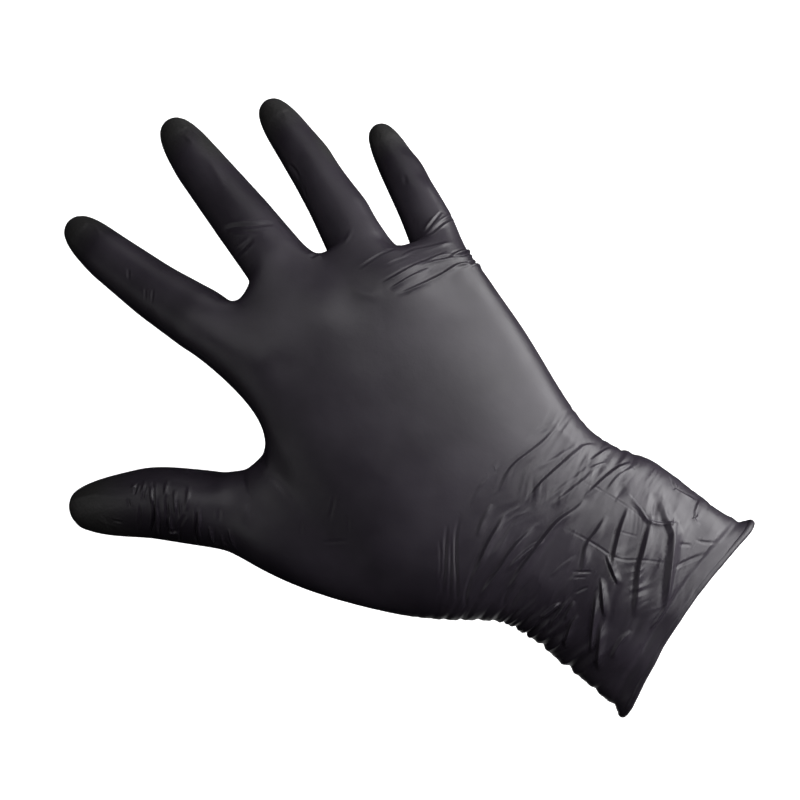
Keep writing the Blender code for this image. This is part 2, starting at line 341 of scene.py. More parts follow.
class Finger:
    """A finger's joints and tip, and rays from inside it."""

    def __init__(self, name):
        joints = [joint for joint in frame["joints"] if joint["name"].startswith(f"{name}_")]
        self.sides = [Vector(joint["axis"]).normalized() for joint in joints]
        self.marks = [Vector(joint["pos_m"]) / MM for joint in joints]
        tip = frame["nodes"][f"{name}_tip"].data.vertices
        far = max((vertex.co / MM for vertex in tip), key=lambda co: (co - self.marks[-1]).length)
        self.marks.append(far)

    def place(self, joint, along, angle):
        """A point inside the finger and a direction out of it: 90 degrees is the nail's side."""
        forward = (self.marks[joint + 1] - self.marks[joint]).normalized()
        if joint and along < 0:
            forward = (self.marks[joint] - self.marks[joint - 1]).normalized()
        side = self.sides[joint]
        nailward = forward.cross(side).normalized()
        turn = math.radians(angle)
        start = self.marks[joint] + forward * along + nailward * NAILWARD_START
        return start, side * math.cos(turn) + nailward * math.sin(turn)


def on_back(tree, x, y):
    """The film's back at X and Y, or past the outline the nearest point of its edge."""
    hit = tree.ray_cast(Vector((x, y, ABOVE)), Vector((0, 0, -1)))[0]
    return hit or tree.find_nearest(Vector((x, y, OUTLINE_HEIGHT)))[0]


def on_palm(tree, x, y):
    return tree.ray_cast(Vector((x, y, -ABOVE)), Vector((0, 0, 1)))[0]


def round_arm(tree, x, angle):
    """A point on the cuff or the wrist: 0 degrees is the thumb's side and 90 is the back."""
    turn = math.radians(angle)
    return tree.ray_cast(Vector((x, 0.5, 0.5)), Vector((0, math.cos(turn), math.sin(turn))))[0]


@dataclass
class Crease:
    """A line on the film along which it is folded in, or out if the depth is negative."""

    line: list
    depth: float
    width: float
    bank: float = 0.3  # how far the film rises beside it, as a share of its depth
    soft: bool = False
    run: float = 0  # for a pleat, how far the film slopes down from its one bank


def smooth_line(tree, knots):
    """Points along a smooth curve through the knots, laid on the film."""
    knots = [knot for knot in knots if knot]  # some rays leave through the mouth
    padded = [2 * knots[0] - knots[1], *knots, 2 * knots[-1] - knots[-2]]
    points = []
    for p0, p1, p2, p3 in zip(padded, padded[1:], padded[2:], padded[3:]):
        bend = p0 * 2 - p1 * 5 + p2 * 4 - p3
        twist = p1 * 3 - p0 - p2 * 3 + p3
        count = max(2, round((p2 - p1).length / LINE_STEP))
        for i in range(count):
            t = i / count
            points.append((p1 * 2 + (p2 - p0) * t + bend * t**2 + twist * t**3) / 2)
    points.append(knots[-1])
    return np.array([tree.find_nearest(point)[0] for point in points])


def lay(tree, place, marks):
    """A smooth line on the film through marks, by the function that places each."""
    return smooth_line(tree, [place(tree, *mark) for mark in marks])


def near_crease(points, crease):
    """The numbers of the points that a crease reaches, and where they are.

    That is how far they are from its line, in its widths, which side they are on, with 1 for downhill, and
    how far along it they are, from 0 to 1.
    """
    reach = crease.width * FOLD_REACH + crease.run
    line = crease.line
    inside = np.all((points > line.min(0) - reach) & (points < line.max(0) + reach), axis=1)
    numbers = np.flatnonzero(inside)
    starts, spans = line[:-1], np.diff(line, axis=0)
    lengths = np.maximum(np.linalg.norm(spans, axis=1), 1e-6)
    before = np.concatenate([[0], np.cumsum(lengths)[:-1]])
    offsets = points[numbers][:, None] - starts
    share = np.clip((offsets * spans).sum(-1) / lengths**2, 0, 1)
    across = offsets - share[..., None] * spans
    away = np.linalg.norm(across, axis=-1)
    nearest = away.argmin(1)
    rows = np.arange(len(numbers))
    side = np.sign(across[rows, nearest] @ np.array(DOWNHILL))
    along = (before[nearest] + share[rows, nearest] * lengths[nearest]) / lengths.sum()
    return numbers, away[rows, nearest] / crease.width, side, along


def press(points, crease):
    """The numbers of the points that a crease reaches, their heights and the longest edges there."""
    numbers, away, side, along = near_crease(points, crease)
    fade_share = PLEAT_FADE_SHARE if crease.run else FADE_SHARE
    ends = np.clip(np.minimum(along, 1 - along) / fade_share, 0, 1)
    fade = ends**1.3 * (2.3 - 1.3 * ends)
    shortest = max(crease.width * 0.45, CREASED_EDGE)
    if crease.soft:
        valley = np.exp(-(away**2))
        longest = np.where(away < 2.5, crease.width * 0.9, UNCREASED_EDGE)
    else:
        valley = np.clip(1 - np.sqrt(away**2 + 0.02) / VALLEY_EDGE, 0, 1) ** 1.4
        longest = np.where(away < 1.1, shortest, UNCREASED_EDGE)
        longest = np.where(away < 3, np.minimum(longest, crease.width * 0.8), longest)
    banks = np.exp(-(((away - BANK_AT) / BANK_WIDTH) ** 2))
    if crease.run:
        past = side * away - CREST_AT
        fall = np.where(past < 0, 1 / WALL_WIDTH, crease.width / crease.run)
        banks = np.clip(1 - (np.sqrt(past**2 + 0.04) - 0.2) * fall, 0, 1) ** 1.5
        valley = GUTTER_SHARE * np.exp(-(((past + GUTTER_AT) / GUTTER_WIDTH) ** 2))
        longest = np.where(np.abs(past) < 1.3, shortest, longest)
    return numbers, crease.depth * fade * (crease.bank * banks - valley), longest


# ---------------------------------------------------------------- the creases


# On the back, as the X and Y of each line, then its depth and width.
WRIST_CREASES = [
    ([(64.2, 35), (66.5, 29), (69, 20), (69.8, 13), (70, 6)], 0.3, 0.5),
    ([(66.2, 19), (66.4, 8), (66.2, 1)], 0.25, 0.5),
    ([(77, -17), (75, -22), (72, -26)], 0.2, 0.5),
    ([(50.7, 30), (51.9, 23), (51.6, 15)], 0.5, 0.6),
    ([(53.5, 29), (55, 25), (55, 20)], 0.35, 0.5),
    ([(46.9, 14), (46.1, 8), (45.2, 3)], 0.3, 0.5),
    ([(65.5, 36.5), (70, 30), (75, 23.5), (78.5, 18), (80.5, 13)], 0.45, 0.5),
    ([(68, 37), (72, 30.5), (76, 24.5), (79, 20)], 0.3, 0.45),
    ([(71, 36.5), (75, 29.5), (79, 23), (82.5, 17)], 0.4, 0.5),
    ([(73.5, 34), (78, 27), (82, 22)], 0.25, 0.45),
    ([(62.4, 36), (65.5, 31), (67, 26)], 0.35, 0.5),
]
# The same for the pleats, each with the length of its slope too.
WRIST_PLEATS = [
    ([(75.6, 0.5), (76.3, -8), (74.3, -15), (72.5, -20.5), (71.2, -27)], 0.4, 0.5, 2.4),
    ([(73.2, 15.5), (74.6, 9.6), (75, 4.5)], 0.3, 0.5, 2),
    ([(66.8, -1), (66.2, -8.7), (65.2, -13.3), (63.6, -19), (61.1, -26), (57.3, -29.1)], 0.55, 0.55, 3),
    ([(69.4, -12.5), (65.7, -20.2), (62.7, -26)], 0.2, 0.6, 1.8),
    ([(67, 25), (68.9, 16.4), (69.5, 10.8), (69.8, 5)], 0.55, 0.5, 1.8),
    ([(61.4, 31), (61.9, 26), (61.9, 19.7), (62.1, 13.7), (61.6, 8.7), (60.4, 3)], 0.65, 0.6, 2),
    ([(56, 24), (56.5, 16), (56.3, 7.7), (56, 1.5), (55.2, -3.3), (53, -8.8), (51.7, -13.4)],
     0.85, 0.55, 2.6),
    ([(59.6, 19), (59.2, 15), (57.8, 9.4), (55.6, 4)], 0.5, 0.5, 1.5),
    ([(52.6, -12.5), (51.4, -18.7), (50, -23), (48.9, -25.7), (45, -31)], 0.6, 0.55, 2.4),
    ([(60, -5), (57.6, -11.9), (55.3, -18.7), (54.5, -23)], 0.32, 0.6, 2.2),
    ([(62.4, -3), (60.4, -11), (57.8, -18), (55.5, -25)], 0.15, 0.5, 1.6),
    ([(57.7, -22), (55.1, -27.4), (52, -31.4)], 0.3, 0.45, 1.4),
    ([(48.1, -18.5), (47.3, -24), (44.5, -29.5)], 0.4, 0.5, 1.6),
    ([(55.9, -21.2), (52.6, -26)], 0.25, 0.4, 1.2),
    ([(80, 9), (80.8, 2), (80.4, -7)], 0.08, 0.5, 1.5),
]
WRIST_RIDGES = [
    ([(74.8, -25), (70.8, -26), (64.6, -25), (59.6, -26.4)], 0.25, 1.6),
    ([(64.6, 26), (65.2, 15), (64.6, 4)], 0.15, 1.2),
]
CUFF_PLEATS = [
    ([(33, -25.4), (28, -21.2), (24.5, -18.5), (21.8, -13.8), (17.6, -6.4), (12.4, 2.5)], 0.97, 1.06, 3.6),
    ([(32.9, -21), (30.8, -15), (28.9, -9.1), (27.2, -4.4), (23.5, 1.9), (19.4, 9)], 0.85, 0.75, 3.6),
    ([(40.2, -18.5), (38.9, -12.5), (37.3, -7.8), (35.5, -3.2), (33, 1.4)], 0.7, 0.7, 3.3),
    ([(44.2, -12.4), (44.1, -6.9), (44.2, -1.6), (42.4, 3.1), (40.8, 6.4)], 0.6, 0.6, 2.7),
    ([(34.9, 4.4), (31.3, 8.8), (27, 13.7)], 0.67, 0.4, 1.7),
    ([(37.6, -2.4), (33.8, 0.4), (29.2, 3.2)], 0.63, 0.4, 1.9),
    ([(33.8, 8.2), (30.4, 14.3), (27.5, 19.1), (23.2, 25.6)], 0.71, 0.48, 2),
    ([(13.1, 9), (13, 2.4), (13.4, -1.6)], 0.42, 0.42, 1.7),
    ([(42.4, 25), (41.3, 19.7), (39.8, 17)], 0.63, 0.4, 1.5),
    ([(30.4, 28.8), (33.7, 21.1), (33.6, 17)], 0.63, 0.48, 1.7),
    ([(36.3, 21.6), (37.4, 14.5)], 0.42, 0.4, 1.4),
    ([(47.5, 12.8), (46.7, 8.1), (45, 2.8)], 0.29, 0.4, 1.4),
    ([(27.2, 15), (23.4, 21.3), (18, 29)], 0.76, 0.68, 2.2),
    ([(18.4, 12.4), (18.7, 17.9), (17.5, 23.2)], 0.59, 0.58, 1.7),
    ([(38, 26.6), (38.9, 20), (38.8, 14)], 0.42, 0.4, 1.4),
    ([(33, -34), (29.2, -31.8), (24.6, -31.9), (20.7, -32.9)], 0.29, 0.63, 2.5),
    ([(21, -33.4), (20.5, -28.2), (17, -26.6)], 0.29, 0.53, 2),
    ([(42.1, -21.7), (36.3, -20.1), (32.5, -18.7), (28.7, -19.8), (24, -23.1)], 0.42, 0.4, 1.4),
]
CUFF_CREASES = [
    ([(57, -16.3), (49.6, -17.7), (42.5, -18.1), (33.2, -17.7)], 0.1, 0.33),
    ([(53, -1.8), (47, -2.6), (40, -3.1), (35.6, -3.1), (31.4, -4.5), (26.8, -7.6), (18, -11.8)],
     0.16, 0.36),
    ([(18.4, -9.8), (14.9, -15), (11.2, -20.2)], 0.5, 0.5),
    ([(20.7, -17.1), (18.7, -18.5), (16.2, -19.8)], 0.4, 0.4),
    ([(16.5, -21.5), (13.4, -22.6), (10.1, -24.6)], 0.45, 0.45),
    ([(42.9, 7.9), (37.8, 4.1)], 0.35, 0.35),
    ([(41.8, 9.2), (38.4, 6.5)], 0.2, 0.3),
    ([(38.6, 13), (36.2, 8.5)], 0.35, 0.35),
    ([(43.8, -18.6), (44.2, -23.6)], 0.6, 1.3),
    ([(31.4, -20), (33.3, -26.6)], 0.8, 1.6),
    ([(32, -12.6), (39.6, -9.8)], 0.1, 0.33),
    ([(18.5, 3), (16.9, 9), (15.5, 15)], 0.25, 1.4),
]

# At the base of the fingers and on them.
ROOT_CREASES = [
    ([(125.8, -47.5), (122.6, -51), (118.6, -55), (116, -59), (113, -66)], 0.6, 0.45),
    ([(133, -44.5), (128.8, -49.5), (124.8, -54), (121.3, -59), (118, -66)], 0.7, 0.45),
    ([(148.7, -31.5), (147, -36), (145, -40), (142.6, -43.5)], 0.2, 0.45),
    ([(142.5, -36.5), (139, -41.5), (136.5, -45.5)], 0.2, 0.5),
    ([(137.9, -52), (136.7, -56), (135, -62.5), (133, -68)], 0.5, 0.5),
    ([(138.7, -53), (138.6, -58), (138.4, -62)], 0.3, 0.4),
    ([(163.5, -26), (162.5, -28.5)], 0.3, 0.7),
]
ROOT_PLEATS = [
    ([(134.6, -41), (131.1, -46.4), (127.7, -51.3), (123, -56.5), (119, -64)], 0.5, 0.5, 2),
    ([(134.6, -31.5), (130.6, -37.8), (127, -44.4), (124.6, -50.1), (120.6, -53.6), (116, -59)],
     0.5, 0.45, 1.5),
    ([(140.2, -31.5), (137.4, -37.1), (134.5, -42.6), (131.7, -47.4), (129.2, -52)], 0.4, 0.45, 1.8),
    ([(137.3, -31.5), (134.5, -37.7), (131, -44)], 0.32, 0.4, 1.5),
    ([(140.4, -40), (138.4, -45), (134.5, -50), (130.5, -55)], 0.12, 0.5, 1.6),
]
ROOT_RIDGES = [
    ([(136.6, -45), (133, -50.5), (129.5, -56)], 0.15, 0.7),
    ([(157, -35.5), (157.8, -41.5)], 0.2, 0.7),
    ([(138, -29.5), (143, -26), (149, -27)], 0.25, 1.5),
    ([(139.3, -53.5), (139.3, -60)], 0.25, 0.5),
]
THUMB_CREASES = [
    ([(142.5, 71), (145.6, 66), (147.8, 61.5), (150.3, 57.3)], 0.55, 0.5),
    ([(150, 75.5), (153.6, 71), (156, 67.5), (158.3, 64), (160, 61.5)], 0.45, 0.55),
    ([(157.8, 78), (159, 72), (161.2, 67.5), (164, 64), (166.5, 61)], 0.6, 0.5),
    ([(151, 68.5), (151.4, 63)], 0.3, 0.5),
    ([(153, 65.5), (155.8, 60.7)], 0.35, 0.45),
    ([(148, 74), (150, 70), (152.3, 66)], 0.3, 0.45),
    ([(154.3, 76.5), (156.7, 72), (158.6, 68)], 0.35, 0.45),
    ([(162, 79.5), (163.5, 74), (166, 69)], 0.3, 0.45),
    ([(165.5, 68.5), (167.5, 64)], 0.3, 0.45),
    ([(133.5, 67.5), (136.5, 63)], 0.25, 0.5),
    ([(137.5, 68.5), (139.5, 65), (141, 61)], 0.3, 0.5),
    ([(167.5, 78.7), (171.3, 80.6)], 0.25, 0.5),
    ([(168.2, 72.7), (170.5, 70.3)], 0.25, 0.5),
    ([(169, 68.5), (170.3, 64.7)], 0.3, 0.45),
    ([(141, 58.5), (143.5, 55)], 0.15, 0.6),
]
THUMB_PLEATS = [
    ([(164.4, 64.6), (160.6, 68.2), (158.7, 71), (156.5, 76)], 0.4, 0.5, 1.2),
    ([(156.4, 67), (152.6, 71.4), (149.6, 75)], 0.45, 0.55, 1.2),
    ([(149.6, 59), (146.8, 63), (144.6, 68.4)], 0.5, 0.45, 1.2),
    ([(143.2, 62), (139, 66.5), (137.5, 69)], 0.35, 0.5, 1.2),
    ([(137.6, 59), (131.5, 64)], 0.25, 0.5, 1.2),
    ([(138.6, 62), (134.6, 66)], 0.25, 0.45, 1),
]
THUMB_RIDGES = [
    ([(151.8, 62.5), (153.4, 58.7), (155.6, 55.3)], 0.45, 0.6),
    ([(154.6, 64.8), (156.6, 61.7), (158.6, 58.8)], 0.4, 0.55),
    ([(159.6, 63), (162.2, 58.3)], 0.4, 0.55),
    ([(162.2, 67.3), (165.6, 62.3)], 0.45, 0.5),
    ([(166.2, 66.6), (168.8, 62.8)], 0.3, 0.5),
    ([(169, 69.8), (176, 74), (185, 79.5)], 0.3, 1.1),
    ([(167.5, 81.4), (176.5, 83.4)], 0.15, 0.7),
    ([(184.5, 89), (186.3, 83.5), (186, 76.5)], 0.3, 0.8),
    ([(170.2, 66), (171.6, 67)], 0.3, 0.5),
]
FINGER_CREASES = [
    ([(184.5, -13), (183, -17), (181.5, -21.5)], 0.55, 0.8),
    ([(192.5, -18.5), (187.5, -22.5), (183.5, -25.5), (179, -29)], 0.65, 0.8),
    ([(190, -19), (185.5, -22), (181.5, -24)], 0.4, 0.6),
    ([(197, 13.5), (199.5, 9.5)], 0.14, 0.45),
    ([(199.6, 14), (202, 10.5)], 0.12, 0.45),
    ([(208.5, 11.5), (211, 8.8)], 0.16, 0.5),
    ([(182.5, -45.6), (185.5, -47.2), (189, -48.3)], 0.45, 0.6),
    ([(176, -41.5), (180, -44.5)], 0.15, 0.6),
    ([(152.5, -63), (155.5, -66)], 0.12, 0.6),
]
FINGER_RIDGES = [
    ([(199, -29), (206, -33), (214, -36.5)], 0.3, 1.3),
    ([(216, -38), (221.5, -39.8), (229, -40)], 0.3, 0.8),
    ([(218.5, -36.6), (224.5, -37.6)], 0.25, 0.7),
    ([(226, 5.4), (231, 4), (236.5, 5.2)], 0.3, 0.9),
    ([(184.5, -45.3), (188, -46.9)], 0.2, 0.5),
    ([(197, -60.5), (203.5, -63)], 0.2, 0.8),
]
HAND_CREASES = [
    ([(104, 39), (111, 45)], 0.1, 0.5),
    ([(112.5, 37.5), (115.5, 29.5)], 0.1, 0.5),
    ([(105, 37), (109, 32.5)], 0.08, 0.5),
    ([(117, 47), (119.5, 42.5)], 0.08, 0.5),
]
# The palm's own lines show through the stretched film, as X and Y.
PALM_CREASES = [
    ([(152, 20), (132, 14), (112, 16), (92, 24)], 0.35, 1.1),
    ([(150, 12), (140, -6), (126, -22), (110, -34)], 0.3, 1.1),
    ([(158, -8), (146, -22), (134, -36), (124, -46)], 0.3, 1.1),
    ([(120, 34), (106, 30), (92, 20), (84, 8)], 0.3, 1.0),
    ([(98, -40), (90, -28), (82, -16)], 0.25, 0.9),
    ([(104, 46), (98, 36), (88, 26)], 0.35, 0.9),
    ([(110, 50), (103, 40), (94, 31)], 0.3, 0.8),
]
# Round the edges of the cuff and the wrist, as X, depth and width.
CUFF_NOTCHES = [
    (13, 0.4, 1.2),
    (23.5, 0.8, 1.2),
    (34.6, 0.7, 1),
    (41, 0.9, 0.7),
    (45, 0.6, 0.7),
    (49, 0.5, 0.6),
]
THUMB_EDGE_FOLDS = [(53, 0.35, 0.8), (57, 0.25, 0.8), (61.5, 0.3, 0.8), (66, 0.2, 0.8)]
LITTLE_EDGE_FOLDS = [(47, 0.2, 0.8), (51, 0.3, 0.8), (57.5, 0.2, 0.8), (71, 0.2, 0.8)]

# The folds round the palm's side of the cuff and the wrist.
PALM_FOLDS = 30
FIRST_FOLD, FOLD_STEP = 9, 2.6
LAST_ANGLE = 312  # short of the thumb's edge
CUFF_END = 48


def drawn_creases(tree):
    """The creases in the lists above, each laid on the film."""
    found = []

    def draw(place, lines, sign=1, **shape):
        for line, depth, width in lines:
            found.append(Crease(lay(tree, place, line), sign * depth, width, **shape))

    draw(on_back, WRIST_CREASES + CUFF_CREASES, bank=0.1)
    draw(on_back, ROOT_CREASES + THUMB_CREASES)
    draw(on_back, FINGER_CREASES + HAND_CREASES)
    for line, depth, width, run in WRIST_PLEATS + CUFF_PLEATS + ROOT_PLEATS + THUMB_PLEATS:
        found.append(Crease(lay(tree, on_back, line), depth, width, bank=1.6, soft=True, run=run))
    draw(on_back, WRIST_RIDGES + ROOT_RIDGES + THUMB_RIDGES + FINGER_RIDGES, sign=-1, bank=0, soft=True)
    draw(on_palm, PALM_CREASES, bank=0.2, soft=True)
    return found


def arm_creases(tree):
    """Folds round the palm's side of the cuff and the wrist, and the notches at their edges."""
    rng = random.Random(7)
    found = []
    for k in range(PALM_FOLDS):
        x = FIRST_FOLD + FOLD_STEP * k + rng.uniform(-1.3, 1.3)
        start = rng.uniform(172, 250)
        reach = rng.uniform(35, 110)
        slant = rng.uniform(-9, 9)
        bend = rng.uniform(-3, 3)
        marks = []
        for share in (0, 0.25, 0.5, 0.75, 1):
            angle = min(start + reach * share, LAST_ANGLE)
            marks.append((x + slant * (share - 0.5) + bend * math.sin(math.pi * share), angle))
        depth = (1.25 if x < CUFF_END else 0.8) * rng.uniform(0.1, 0.95)
        width = rng.uniform(0.7, 1.1) * (1.5 if x < CUFF_END else 1)
        line = lay(tree, round_arm, marks)
        found.append(Crease(line, 0.6 * depth, width, bank=1.2, soft=True, run=2.4 * width))

    def cross(folds, steps, **shape):
        """Folds that run round an edge. Each step is an angle round the arm and a shift in X there."""
        for x, depth, width in folds:
            marks = [(x + shift, angle) for angle, shift in steps]
            found.append(Crease(lay(tree, round_arm, marks), depth, width, **shape))

    cross(CUFF_NOTCHES, [(42, -2), (22, -0.5), (0, 0), (-25, 1), (-50, 3)], bank=0.5)
    cross(THUMB_EDGE_FOLDS, [(42, 0), (20, -0.5), (0, -1), (-30, 1)])
    cross(LITTLE_EDGE_FOLDS, [(140, 0), (160, -1.5), (180, -2), (205, -0.5)])
    return found


def finger_creases(tree, fingers):
    """Creases across the palm side of each joint, where 270 degrees is the middle of that side."""
    rng = random.Random(21)
    found = []

    def draw(finger, joint, along, start, end, depth, width):
        marks = []
        for k in range(5):
            angle = start + (end - start) * k / 4
            place, direction = finger.place(joint, along + rng.uniform(-0.35, 0.35), angle)
            marks.append(tree.ray_cast(place, direction)[0])
        found.append(Crease(smooth_line(tree, marks), depth, width))

    for name, finger in fingers.items():
        for joint in range(len(finger.sides)):
            for along in (-1.6, 1.4):
                middle = rng.uniform(262, 278)
                reach = rng.uniform(40, 62)
                draw(finger, joint, along, middle - reach, middle + reach, rng.uniform(0.25, 0.45), 0.75)
    return found


# Broad swellings over bones and tendons, and dents, as X, Y, radius and height.
SWELLINGS = [
    (158, 7, 9, 0.7),
    (151, 6, 4, -0.45),
    (150, -14, 9, 0.6),
    (138, -32, 8, 0.5),
    (146, -21, 5, -0.35),
    (137, -41, 10, 1.2),
    (145, -46, 4, -2.2),
    (146.5, 38, 9, 2.1),
    (149.5, 42, 6, 1.2),
    (145.5, 29, 7, 0.9),
    (161.5, -51.5, 6, 0.6),
    (182.5, -60, 6, 0.5),
    (187, -45, 5, -0.6),
    (153, -72.5, 5, 0.4),
    (137, -63.5, 6, 0.5),
    (167, 56, 9, 0.9),
    (155.5, 46.5, 5, -0.3),
    (140, 20, 8, -0.3),
    (132, -3, 6, 0.25),
    (40, -36, 9, 0.9),
    (49, -34.5, 4, -0.9),
    (14, -36, 5, -0.8),
    (148, -66, 5, 0.5),
    (162, -75, 4, -0.3),
    (152, 60, 7, 0.5),
]


def ramp(distance, length):
    """0 before a start and then up to 1 over a length, at a distance past the start."""
    return np.clip(distance / length, 0, 1)


def swelling_height(surface):
    total = np.zeros(len(surface.points))
    for x, y, radius, height in SWELLINGS:
        away = np.linalg.norm(surface.points - np.array(on_back(surface.tree, x, y)), axis=1) / radius
        total += height * np.exp(-(away**2))
    return total


def nail_height(surface, fingers):
    """The edge of each nail shows faintly through the film."""
    total = np.zeros(len(surface.points))
    for name, finger in fingers.items():
        last = len(finger.sides) - 1
        base, tip = finger.marks[-2], finger.marks[-1]
        forward = (tip - base).normalized()
        side = finger.sides[last]
        nailward = forward.cross(side).normalized()
        length = (tip - base).length
        offset = surface.points - np.array(base)
        along = (offset @ np.array(forward)) / length
        half_width = THUMBNAIL_HALF_WIDTH if name == "thumb" else NAIL_HALF_WIDTH
        across = np.abs(offset @ np.array(side)) / half_width
        upward = np.clip((surface.normals @ np.array(nailward)) * 2.5 - 0.8, 0, 1)
        plate = ramp(along - NAIL_START, 0.035) * ramp(NAIL_END - along, 0.05) * ramp(1 - across, 0.12)
        total += NAIL_RISE * plate * upward
    return total


def grip_amount(surface, fingers):
    """1 where the film is textured, towards the tip of each finger, and 0 elsewhere."""
    total = np.zeros(len(surface.points))
    for finger in fingers.values():
        base, tip = finger.marks[-2], finger.marks[-1]
        length = (tip - base).length
        along = ((surface.points - np.array(base)) @ np.array((tip - base).normalized())) / length
        away = np.linalg.norm(surface.points - np.array((base + tip) / 2), axis=1) / length
        total = np.maximum(total, ramp(along - 0.05, 0.5) * ramp(1.3 - away, 0.2))
    return total


def slack_height(surface):
    """Waves and fine pleats where nothing fills the film: strongest in the cuff, none past the wrist."""
    total = np.zeros(len(surface.points))
    loose = ramp(WAVES_END - surface.points[:, 0], WAVES_GROW)
    pleated = ramp(PLEATS_END - surface.points[:, 0], PLEATS_GROW)
    for number in np.flatnonzero(pleated):
        x, y, z = surface.points[number]
        around = math.atan2(z, y) * 30
        bend = 5 * noise.noise(Vector((x / 20, around / 22, 3)))
        wave = noise.noise(Vector((x / 9, y / 14, z / 14)))
        pleats = 0.5 - abs(noise.noise(Vector(((x + bend) / 2.6, y / 17, z / 17 + 9))))
        fine = 0.5 - abs(noise.noise(Vector(((x + bend) / 1.2, y / 11 + 5, z / 11))))
        total[number] = WAVE_HEIGHT * wave * loose[number]
        total[number] += pleated[number] * (PLEAT_HEIGHT * pleats + FINE_HEIGHT * fine)
    return total


def flare_height(surface):
    """The film dips and then flares towards the bead."""
    mouth = kdtree.KDTree(len(surface.triangles))
    for number in np.unique(open_edges(surface.triangles)):
        mouth.insert(surface.points[number], number)
    mouth.balance()
    total = np.zeros(len(surface.points))
    for number in np.flatnonzero(surface.points[:, 0] < FLARE_END):
        away = mouth.find(surface.points[number])[2]
        flare = FLARE_HEIGHT * math.exp(-((away / FLARE_WIDTH) ** 2))
        total[number] = flare - DIP_HEIGHT * math.exp(-(((away - DIP_AT) / DIP_WIDTH) ** 2))
    return total


def press_all(surface, creases):
    """The height that the creases give each point, and the longest edge that the film allows there."""
    heights = np.zeros(len(surface.points))
    longest = np.where(surface.points[:, 0] < LOOSE_END, LOOSE_EDGE, UNCREASED_EDGE)
    for crease in creases:
        numbers, height, short = press(surface.points, crease)
        heights[numbers] += height
        longest[numbers] = np.minimum(longest[numbers], short)
    return heights, longest


# ---------------------------------------------------------------- materials


def rubber(name, dark, light, roughness):
    """Nitrile rubber: satin, slightly uneven in tone and gloss, pebbled where the film is made to grip."""
    material = bpy.data.materials.new(name)
    material.use_nodes = True
    nodes, links = material.node_tree.nodes, material.node_tree.links
    shader = nodes["Principled BSDF"]
    shader.inputs["Specular IOR Level"].default_value = 0.5
    shader.inputs["IOR"].default_value = 1.5

    def node(kind, **values):
        made = nodes.new(kind)
        for key, value in values.items():
            if key in made.inputs:
                made.inputs[key].default_value = value
            else:
                setattr(made, key, value)
        return made

    place = node("ShaderNodeAttribute", attribute_name="film_place")
    grip = node("ShaderNodeAttribute", attribute_name="film_grip")
    crease = node("ShaderNodeAttribute", attribute_name="film_crease")

    def noise_node(scale, detail, rough=0.5):
        made = node("ShaderNodeTexNoise", Scale=scale, Detail=detail, Roughness=rough)
        links.new(place.outputs["Vector"], made.inputs["Vector"])
        return made

    clouds = noise_node(38, 3)
    tone = node("ShaderNodeMix", data_type="RGBA")
    tone.inputs["A"].default_value = (*dark, 1)
    tone.inputs["B"].default_value = (*light, 1)
    spread = node("ShaderNodeMapRange")
    spread.inputs["From Min"].default_value = 0.35
    spread.inputs["From Max"].default_value = 0.65
    links.new(clouds.outputs["Fac"], spread.inputs["Value"])
    links.new(spread.outputs["Result"], tone.inputs["Factor"])
    paler = node("ShaderNodeMix", data_type="RGBA")
    paler.inputs["B"].default_value = (0.022, 0.0212, 0.0215, 1)
    links.new(grip.outputs["Fac"], paler.inputs["Factor"])
    links.new(tone.outputs["Result"], paler.inputs["A"])
    links.new(paler.outputs["Result"], shader.inputs["Base Color"])

    smears = noise_node(95, 4, 0.6)
    gloss = node("ShaderNodeMapRange")
    gloss.inputs["From Min"].default_value = 0.3
    gloss.inputs["From Max"].default_value = 0.7
    gloss.inputs["To Min"].default_value = roughness - 0.05
    gloss.inputs["To Max"].default_value = roughness + 0.07
    links.new(smears.outputs["Fac"], gloss.inputs["Value"])
    duller = node("ShaderNodeMath", operation="MULTIPLY_ADD")
    links.new(grip.outputs["Fac"], duller.inputs[0])
    duller.inputs[1].default_value = 0.1
    links.new(gloss.outputs["Result"], duller.inputs[2])
    glossier = node("ShaderNodeMath", operation="MULTIPLY_ADD", use_clamp=True)
    links.new(crease.outputs["Fac"], glossier.inputs[0])
    glossier.inputs[1].default_value = -0.05
    links.new(duller.outputs["Value"], glossier.inputs[2])
    links.new(glossier.outputs["Value"], shader.inputs["Roughness"])

    skin = noise_node(1500, 3, 0.6)
    ripples = noise_node(320, 2)
    fine = node("ShaderNodeBump", Strength=0.22, Distance=0.00006)
    links.new(skin.outputs["Fac"], fine.inputs["Height"])
    broad = node("ShaderNodeBump", Strength=0.3, Distance=0.00012)
    links.new(ripples.outputs["Fac"], broad.inputs["Height"])
    links.new(fine.outputs["Normal"], broad.inputs["Normal"])
    pebbles = node("ShaderNodeTexVoronoi", Scale=1150, feature="SMOOTH_F1")
    links.new(place.outputs["Vector"], pebbles.inputs["Vector"])
    gripping = node("ShaderNodeMath", operation="MULTIPLY")
    links.new(pebbles.outputs["Distance"], gripping.inputs[0])
    links.new(grip.outputs["Fac"], gripping.inputs[1])
    pebbled = node("ShaderNodeBump", Strength=0.5, Distance=0.0002, invert=True)
    links.new(gripping.outputs["Value"], pebbled.inputs["Height"])
    links.new(broad.outputs["Normal"], pebbled.inputs["Normal"])
    links.new(pebbled.outputs["Normal"], shader.inputs["Normal"])
    return material


# ---------------------------------------------------------------- pieces


def store(mesh, name, kind, values):
    attribute = mesh.attributes.new(name, kind, "POINT")
    key = "vector" if kind == "FLOAT_VECTOR" else "value"
    attribute.data.foreach_set(key, np.asarray(values, np.float32).ravel())


